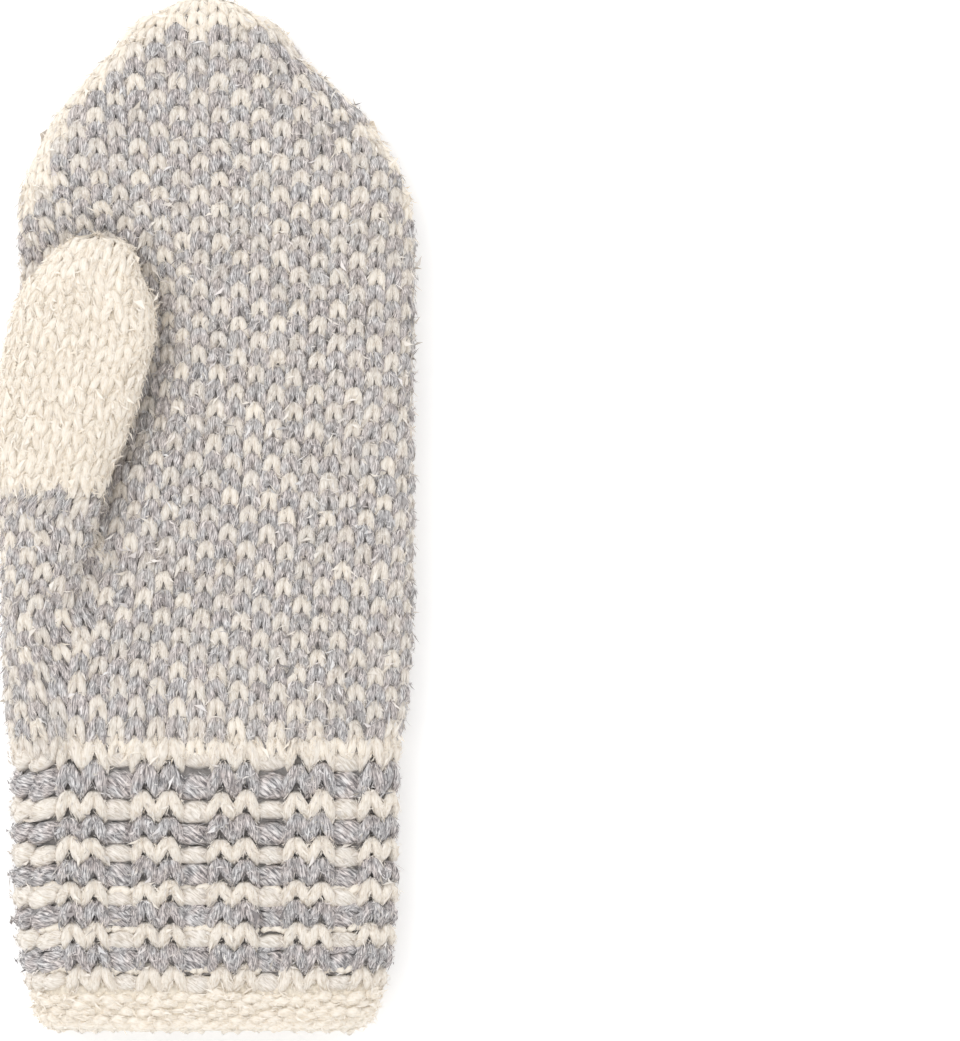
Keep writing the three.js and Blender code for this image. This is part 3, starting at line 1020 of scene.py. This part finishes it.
# materials
wool = {
    "creamLow": (0.81, 0.715, 0.59, 1),
    "cream": (0.895, 0.83, 0.735, 1),
    "creamHigh": (0.915, 0.86, 0.78, 1),
    "creamAt": (0.34, 0.46, 0.68),  # how much fibre grain gives each shade
    "greyLow": (0.17, 0.162, 0.166, 1),
    "grey": (0.45, 0.428, 0.423, 1),
    "greyHigh": (0.82, 0.79, 0.775, 1),
    "greyAt": (0.36, 0.49, 0.64),
    "blueLean": (0.97, 0.985, 1.0, 1),
    "brownLean": (1.0, 0.955, 0.945, 1),
    "leanAt": (0.38, 0.62),
    "leanScale": 230,
    "leanDetail": 1,
    "roughness": 0.95,
    "sheen": 0.2,
    "sheenRoughness": 0.6,
    "specular": 0.1,
    "bump": 0.5,
    "bumpDepth": 0.0006,
}
# a yarn's grain: how steeply its fibres wind, how far round it goes and how fine they are
fibre = {
    "Twist": 0.45,
    "Girth": 7.5,
    "Fineness": 3.2,
    "fine": (0.55, 1.0, 2.0, 3.1),  # stretch, fineness, detail and depth in the noise
    "plies": (0.22, 0.42, 1.0, 9.7),
    "fineShare": 0.55,
    "noiseRoughness": 0.6,
}


def maths(tree, operation, a, b=0.0):
    made = tree.nodes.new("ShaderNodeMath")
    made.operation = operation
    for socket, value in zip(made.inputs, (a, b)):
        if isinstance(value, (int, float)):
            socket.default_value = value
        else:
            tree.links.new(value, socket)
    return made.outputs[0]


def newGroup(name, inputs, outputs):
    # inputs come with their usual values, and outputs with their kinds, Float or Color
    group = bpy.data.node_groups.new(name, "ShaderNodeTree")
    for title, value in inputs.items():
        kind = "NodeSocketColor" if isinstance(value, tuple) else "NodeSocketFloat"
        group.interface.new_socket(name=title, in_out="INPUT", socket_type=kind).default_value = value
    for title, kind in outputs.items():
        group.interface.new_socket(name=title, in_out="OUTPUT", socket_type="NodeSocket" + kind)
    return group, group.nodes.new("NodeGroupInput"), group.nodes.new("NodeGroupOutput")


def placeGroup(tree, group, **values):
    made = tree.nodes.new("ShaderNodeGroup")
    made.node_tree = group
    for title, value in values.items():
        if isinstance(value, tuple):
            made.inputs[title].default_value = value
        else:
            tree.links.new(value, made.inputs[title])
    return made.outputs


def woolGroup():
    # the grain of a yarn's fibres from its own length and turn
    usual = {title: fibre[title] for title in ("Twist", "Girth", "Fineness")}
    group, source, sink = newGroup("woolFibre", usual, {"Fibre": "Float", "Height": "Float"})
    uv = group.nodes.new("ShaderNodeUVMap")
    uv.uv_map = "Yarn"
    split = group.nodes.new("ShaderNodeSeparateXYZ")
    group.links.new(uv.outputs[0], split.inputs[0])
    length, turn = split.outputs[0], split.outputs[1]
    girth = maths(group, "MULTIPLY", turn, source.outputs["Girth"])
    cross = maths(group, "ADD", girth, maths(group, "MULTIPLY", length, source.outputs["Twist"]))
    run = maths(group, "SUBTRACT", length, maths(group, "MULTIPLY", girth, source.outputs["Twist"]))

    def grain(stretch, fine, detail, depth):
        place = group.nodes.new("ShaderNodeCombineXYZ")
        group.links.new(maths(group, "MULTIPLY", run, stretch), place.inputs[0])
        across = maths(group, "MULTIPLY", cross, source.outputs["Fineness"])
        group.links.new(maths(group, "MULTIPLY", across, fine), place.inputs[1])
        place.inputs[2].default_value = depth
        noise = group.nodes.new("ShaderNodeTexNoise")
        noise.inputs["Scale"].default_value = 1.0
        noise.inputs["Detail"].default_value = detail
        noise.inputs["Roughness"].default_value = fibre["noiseRoughness"]
        group.links.new(place.outputs[0], noise.inputs["Vector"])
        return noise.outputs["Fac"]

    fine, plies = grain(*fibre["fine"]), grain(*fibre["plies"])
    height = maths(group, "ADD", plies, maths(group, "MULTIPLY", fine, fibre["fineShare"]))
    group.links.new(fine, sink.inputs["Fibre"])
    group.links.new(height, sink.inputs["Height"])
    return group


fibreGroup = woolGroup()


def colourRamp(tree, source, places, colours):
    made = tree.nodes.new("ShaderNodeValToRGB")
    points = made.color_ramp.elements
    while len(points) < len(places):
        points.new(0.5)
    for point, at, colour in zip(points, places, colours):
        point.position = at
        point.color = colour
    tree.links.new(source, made.inputs[0])
    return made.outputs[0]


def mixColour(tree, fac, a, b, blend="MIX"):
    made = tree.nodes.new("ShaderNodeMix")
    made.data_type = "RGBA"
    made.blend_type = blend
    for socket, value in ((made.inputs[0], fac), (made.inputs[6], a), (made.inputs[7], b)):
        if isinstance(value, (int, float, tuple)):
            socket.default_value = value
        else:
            tree.links.new(value, socket)
    return made.outputs[2]


def objectNoise(tree, scale, detail):
    place = tree.nodes.new("ShaderNodeTexCoord")
    noise = tree.nodes.new("ShaderNodeTexNoise")
    noise.inputs["Scale"].default_value = scale
    noise.inputs["Detail"].default_value = detail
    tree.links.new(place.outputs["Object"], noise.inputs["Vector"])
    return noise.outputs["Fac"]


def relief(tree, shader, height, depth, strength=1.0):
    made = tree.nodes.new("ShaderNodeBump")
    made.inputs["Strength"].default_value = strength
    made.inputs["Distance"].default_value = depth
    tree.links.new(height, made.inputs["Height"])
    tree.links.new(made.outputs[0], shader.inputs["Normal"])


def woolShader(name):
    material = bpy.data.materials.new(name)
    material.use_nodes = True
    tree = material.node_tree
    shader = tree.nodes["Principled BSDF"]
    shader.inputs["Roughness"].default_value = wool["roughness"]
    shader.inputs["Sheen Weight"].default_value = wool["sheen"]
    shader.inputs["Sheen Roughness"].default_value = wool["sheenRoughness"]
    shader.inputs["Specular IOR Level"].default_value = wool["specular"]
    return material, tree, shader


def attributeOf(tree, name):
    node = tree.nodes.new("ShaderNodeAttribute")
    node.attribute_name = name
    return node.outputs["Fac"]


def leanGroup():
    # patches of the grey heather lean a little to brown or to blue
    group, source, sink = newGroup("heatherLean", {"Grey": wool["grey"]}, {"Colour": "Color"})
    noise = objectNoise(group, wool["leanScale"], wool["leanDetail"])
    lean = colourRamp(group, noise, wool["leanAt"], (wool["blueLean"], wool["brownLean"]))
    colour = mixColour(group, 1.0, source.outputs["Grey"], lean, "MULTIPLY")
    group.links.new(colour, sink.inputs["Colour"])
    return group


heatherGroup = leanGroup()


def heathered(tree, grey, cream):
    # grey or cream as the piece's own attribute says, the grey with its patches
    leaning = placeGroup(tree, heatherGroup, Grey=grey)["Colour"]
    return mixColour(tree, attributeOf(tree, "cream"), leaning, cream)


def yarnMaterial(name):
    material, tree, shader = woolShader(name)
    grain = placeGroup(tree, fibreGroup)
    fine = grain["Fibre"]
    grey = colourRamp(tree, fine, wool["greyAt"], (wool["greyLow"], wool["grey"], wool["greyHigh"]))
    cream = colourRamp(tree, fine, wool["creamAt"], (wool["creamLow"], wool["cream"], wool["creamHigh"]))
    tree.links.new(heathered(tree, grey, cream), shader.inputs["Base Color"])
    relief(tree, shader, grain["Height"], wool["bumpDepth"], wool["bump"])
    return material


# the grey wool is made of dark, middling and white fibres: shades, and the share of them up to each
looseFibres = {
    "grey": ((0.20, 0.19, 0.193, 1), (0.34, 0.325, 0.323, 1), (0.54, 0.52, 0.515, 1), (0.82, 0.80, 0.785, 1)),
    "greyAt": (0.0, 0.30, 0.55, 1.0),
    "cream": ((0.84, 0.755, 0.64, 1), (0.885, 0.82, 0.73, 1), (0.885, 0.83, 0.755, 1)),
    "creamAt": (0.0, 0.35, 1.0),
    "sheen": 0.05,
}


def hairMaterial(name):
    # each loose fibre has a shade of its own
    material, tree, shader = woolShader(name)
    shader.inputs["Sheen Weight"].default_value = looseFibres["sheen"]
    seed = attributeOf(tree, "seed")
    grey = colourRamp(tree, seed, looseFibres["greyAt"], looseFibres["grey"])
    cream = colourRamp(tree, seed, looseFibres["creamAt"], looseFibres["cream"])
    tree.links.new(heathered(tree, grey, cream), shader.inputs["Base Color"])
    return material


backingWool = {
    # the grey is darker than the grey yarn: painted shade for the gaps between stitches and the fold beside
    # the thumb, over the wool's own grey
    "grey": (0.33, 0.31, 0.30),
    "cream": (0.90, 0.82, 0.70),
    "shade": 0.7,  # of its darker patches
    "at": (0.3, 0.7),
    "scale": 900,
    "detail": 3,
    "bumpDepth": 0.0004,
}


def mottleGroup():
    # a plain ground with darker patches
    ends = {"Dark": (0, 0, 0, 1), "Light": (1, 1, 1, 1)}
    group, source, sink = newGroup("woolMottle", ends, {"Colour": "Color", "Height": "Float"})
    noise = objectNoise(group, backingWool["scale"], backingWool["detail"])
    share = colourRamp(group, noise, backingWool["at"], (ends["Dark"], ends["Light"]))
    colour = mixColour(group, share, source.outputs["Dark"], source.outputs["Light"])
    group.links.new(colour, sink.inputs["Colour"])
    group.links.new(noise, sink.inputs["Height"])
    return group


mottled = mottleGroup()


def backingMaterial(name, colour):
    material, tree, shader = woolShader(name)
    dark = tuple(k * backingWool["shade"] for k in colour)
    ground = placeGroup(tree, mottled, Dark=dark + (1,), Light=colour + (1,))
    tree.links.new(ground["Colour"], shader.inputs["Base Color"])
    relief(tree, shader, ground["Height"], backingWool["bumpDepth"])
    return material


yarnWool, looseWool = yarnMaterial("woolYarn"), hairMaterial("looseFibres")
# the grey backing's dark grey is painted shade for the gaps between stitches and the fold beside the thumb
shadedGreyBacking, creamBacking = (backingMaterial(k + "Backing", backingWool[k]) for k in ("grey", "cream"))


def dress(piece, material):
    piece.data.materials.append(material)
    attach(piece, "root")


knitted = {"palm": palm, "back": back, "thumb": thumb, "cuff": cuff, "welt": welt, "mouth": mouth}
for part, piece in knitted.items():
    dress(piece, yarnWool)
for part, piece in fuzz.items():
    dress(piece, looseWool)
for node, piece in backings.items():
    dress(piece, creamBacking if node in ("thumb", "welt") else shadedGreyBacking)
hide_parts("hand")
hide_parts("thumb")
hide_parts("cuff")
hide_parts("welt")

# label
label = {
    "middle": (29.4, -41.5),
    "turn": -2,
    "half": (14.2, 13.8),
    "border": 2.6,
    "diamond": (6.0, 2.7, 4.1),  # pitch and half width and height of the row of diamonds
    "blueShare": 0.5,  # of a diamond's size
    "line": (7.4, 0.42),  # place and half width of the thin lines
    "thread": 0.42,  # mm between the threads of the weave
    "threadShade": 0.12,
    "threadDepth": 0.0002,
    "roughness": 0.6,
    "stitches": 11,  # sewing stitches on each side
    "stitchSpread": 0.12,
    "stitchSides": 6,
    "corner": 1.2,  # mm that stays free of them
    "stitch": [(-0.6, 0, 0.35, 0.2), (0.1, 0, 0.22, 0.3), (0.6, 0, 0.3, 0.3), (1.2, 0, 0.9, 0.22)],
    "navy": (0.012, 0.015, 0.04, 1),
    "red": (0.47, 0.018, 0.035, 1),
    "white": (0.80, 0.79, 0.78, 1),
    "blue": (0.03, 0.06, 0.36, 1),
}


def labelPlace(tree):
    # mm across and along from the label's middle
    coordinates = tree.nodes.new("ShaderNodeTexCoord")
    place = tree.nodes.new("ShaderNodeMapping")
    place.vector_type = "TEXTURE"
    place.inputs["Location"].default_value = (label["middle"][0] * mm, label["middle"][1] * mm, 0)
    place.inputs["Rotation"].default_value = (0, 0, math.radians(label["turn"]))
    place.inputs["Scale"].default_value = (mm, mm, mm)
    tree.links.new(coordinates.outputs["Object"], place.inputs["Vector"])
    split = tree.nodes.new("ShaderNodeSeparateXYZ")
    tree.links.new(place.outputs[0], split.inputs[0])
    return split.outputs[0], split.outputs[1]


def labelMaterial():
    # woven: a dark border round a red ground with a row of two-colour diamonds between thin lines
    material, tree, shader = woolShader("labelWeave")
    shader.inputs["Roughness"].default_value = label["roughness"]

    def do(operation, a, b=0.0):
        return maths(tree, operation, a, b)

    x, y = labelPlace(tree)
    upX, upY = do("ABSOLUTE", x), do("ABSOLUTE", y)
    pitch, halfX, halfY = label["diamond"]
    over = do("SUBTRACT", do("FLOORED_MODULO", do("ADD", x, pitch / 2), pitch), pitch / 2)
    diamond = do("ADD", do("DIVIDE", do("ABSOLUTE", over), halfX), do("DIVIDE", upY, halfY))
    lineAt, lineHalf = label["line"]
    fromLine = do("ABSOLUTE", do("SUBTRACT", upY, lineAt))
    edge = do("MAXIMUM", do("SUBTRACT", upX, label["half"][0] - label["border"]),
              do("SUBTRACT", upY, label["half"][1] - label["border"]))
    colour = mixColour(tree, do("LESS_THAN", diamond, 1.0), label["red"], label["white"])
    colour = mixColour(tree, do("LESS_THAN", diamond, label["blueShare"]), colour, label["blue"])
    colour = mixColour(tree, do("LESS_THAN", fromLine, lineHalf), colour, label["white"])
    colour = mixColour(tree, do("GREATER_THAN", edge, 0.0), colour, label["navy"])
    weft, warp = (do("SINE", do("MULTIPLY", k, math.tau / label["thread"])) for k in (x, y))
    weave = do("MULTIPLY", weft, warp)
    shade = do("ADD", do("MULTIPLY", weave, label["threadShade"]), 1 - label["threadShade"])
    grey = tree.nodes.new("ShaderNodeCombineColor")
    for socket in grey.inputs:
        tree.links.new(shade, socket)
    colour = mixColour(tree, 1.0, colour, grey.outputs[0], "MULTIPLY")
    tree.links.new(colour, shader.inputs["Base Color"])
    relief(tree, shader, weave, label["threadDepth"])
    return material


def labelThread():
    # short stitches that hold the label's edges down
    stitch = strand(label["stitch"], label["stitchSides"])
    turn = math.radians(label["turn"])
    places = []
    for quarter in range(4):
        out = turn + quarter * math.pi / 2
        half, span = label["half"][quarter % 2], label["half"][1 - quarter % 2] - label["corner"]
        for k in np.linspace(-span, span, label["stitches"]):
            lean = out + dice.normal(0, label["stitchSpread"])
            x, y, z = stitch["verts"].T
            x, y = x * math.cos(lean) - y * math.sin(lean), x * math.sin(lean) + y * math.cos(lean)
            x += label["middle"][0] + half * math.cos(out) - k * math.sin(out)
            y += label["middle"][1] + half * math.sin(out) + k * math.cos(out)
            places.append(np.column_stack([x, y, z]))
    n = len(places)
    return meshFrom("labelThread", [(stitch, np.array(places), np.zeros(n), dice.random(n))])


threadMaterial, _, shader = woolShader("labelThread")
shader.inputs["Base Color"].default_value = label["navy"]
thread = labelThread()
thread.data.materials.append(threadMaterial)
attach(thread, "root")
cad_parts["label"].data.materials.clear()
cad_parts["label"].data.materials.append(labelMaterial())
print("materials made")

# studio
studio = {
    "lens": 300,
    "sensor": 36,
    "frameX": 72.2,
    "frameY": -1.5,
    "frameHeight": 275.9,
    "outlineZ": 11,  # height at which the photo's scale holds
    "floorZ": -0.3,
    "floorSize": 8,  # metres
    "floorShade": 0.95,
    "floorRoughness": 0.9,
    "floorGlow": 0.14,
    "world": 1.08,
    "key": 9,
    "keyPlace": (-0.9, 0.8, 1.5),
    "keySize": 1.2,
    "farClip": 20,
}
bpy.ops.mesh.primitive_plane_add(size=studio["floorSize"], location=(0, 0, studio["floorZ"] * mm))
floor = bpy.context.object
floor.name = "floor"
floorMaterial = bpy.data.materials.new("floorWhite")
floorMaterial.use_nodes = True
paint = floorMaterial.node_tree.nodes["Principled BSDF"].inputs
paint["Base Color"].default_value = (studio["floorShade"],) * 3 + (1,)
paint["Roughness"].default_value = studio["floorRoughness"]
paint["Emission Color"].default_value = (1, 1, 1, 1)
paint["Emission Strength"].default_value = studio["floorGlow"]
floor.data.materials.append(floorMaterial)

world = bpy.data.worlds.new("studio")
world.use_nodes = True
world.node_tree.nodes["Background"].inputs["Color"].default_value = (1, 1, 1, 1)
world.node_tree.nodes["Background"].inputs["Strength"].default_value = studio["world"]
bpy.context.scene.world = world

light = bpy.data.lights.new("key", "AREA")
light.size = studio["keySize"]
light.energy = studio["key"]
lamp = bpy.data.objects.new("key", light)
lamp.location = studio["keyPlace"]
lamp.rotation_euler = (-Vector(studio["keyPlace"])).to_track_quat("-Z", "Y").to_euler()
bpy.context.collection.objects.link(lamp)

camera = bpy.data.cameras.new("camera")
camera.lens = studio["lens"]
camera.sensor_width = studio["sensor"]
camera.clip_end = studio["farClip"]
away = studio["frameHeight"] / studio["sensor"] * studio["lens"]
eye = bpy.data.objects.new("camera", camera)
eye.location = (studio["frameX"] * mm, studio["frameY"] * mm, (away + studio["outlineZ"]) * mm)
bpy.context.collection.objects.link(eye)
bpy.context.scene.camera = eye
bpy.context.scene.view_settings.view_transform = "Standard"
bpy.context.scene.view_settings.look = "None"
print("studio ready")
